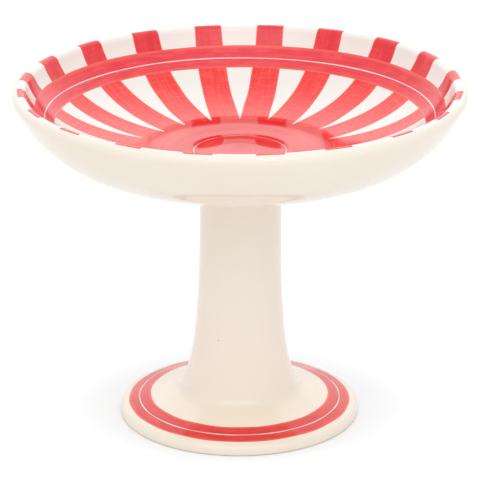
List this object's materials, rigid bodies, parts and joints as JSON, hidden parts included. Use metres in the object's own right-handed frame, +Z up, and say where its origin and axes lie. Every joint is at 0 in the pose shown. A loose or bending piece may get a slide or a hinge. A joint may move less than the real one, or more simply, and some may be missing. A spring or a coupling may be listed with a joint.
{
  "type": "footed compote bowl",
  "caption": "Wide shallow glazed bowl on a tall hollow pedestal with a flared round foot, painted with radiating brush strokes and rings.",
  "frame": {"origin": "middle of the foot ring's face, at table height", "axes": "+Z up along the axis of the wheel; +Y towards the back, where a bare wedge lies between two strokes"},
  "size_m": [0.25, 0.25, 0.1933],
  "materials": {
    "cream_glaze": "clear gloss glaze over cream slip",
    "joint_glaze": "clear gloss glaze over smoothed slip",
    "red_colour": "brushed red underglaze colour under clear gloss glaze"
  },
  "bodies": {
    "root": {"bowl": "cream_glaze", "pedestal": "cream_glaze", "joint_slip": "joint_glaze", "rim_strokes": "red_colour", "band_outer_ring": "red_colour", "band_inner_ring": "red_colour", "floor_strokes": "red_colour", "centre_ring": "red_colour", "centre_disc": "red_colour", "foot_band_outer": "red_colour", "foot_band_inner": "red_colour"}
  },
  "joints": []
}
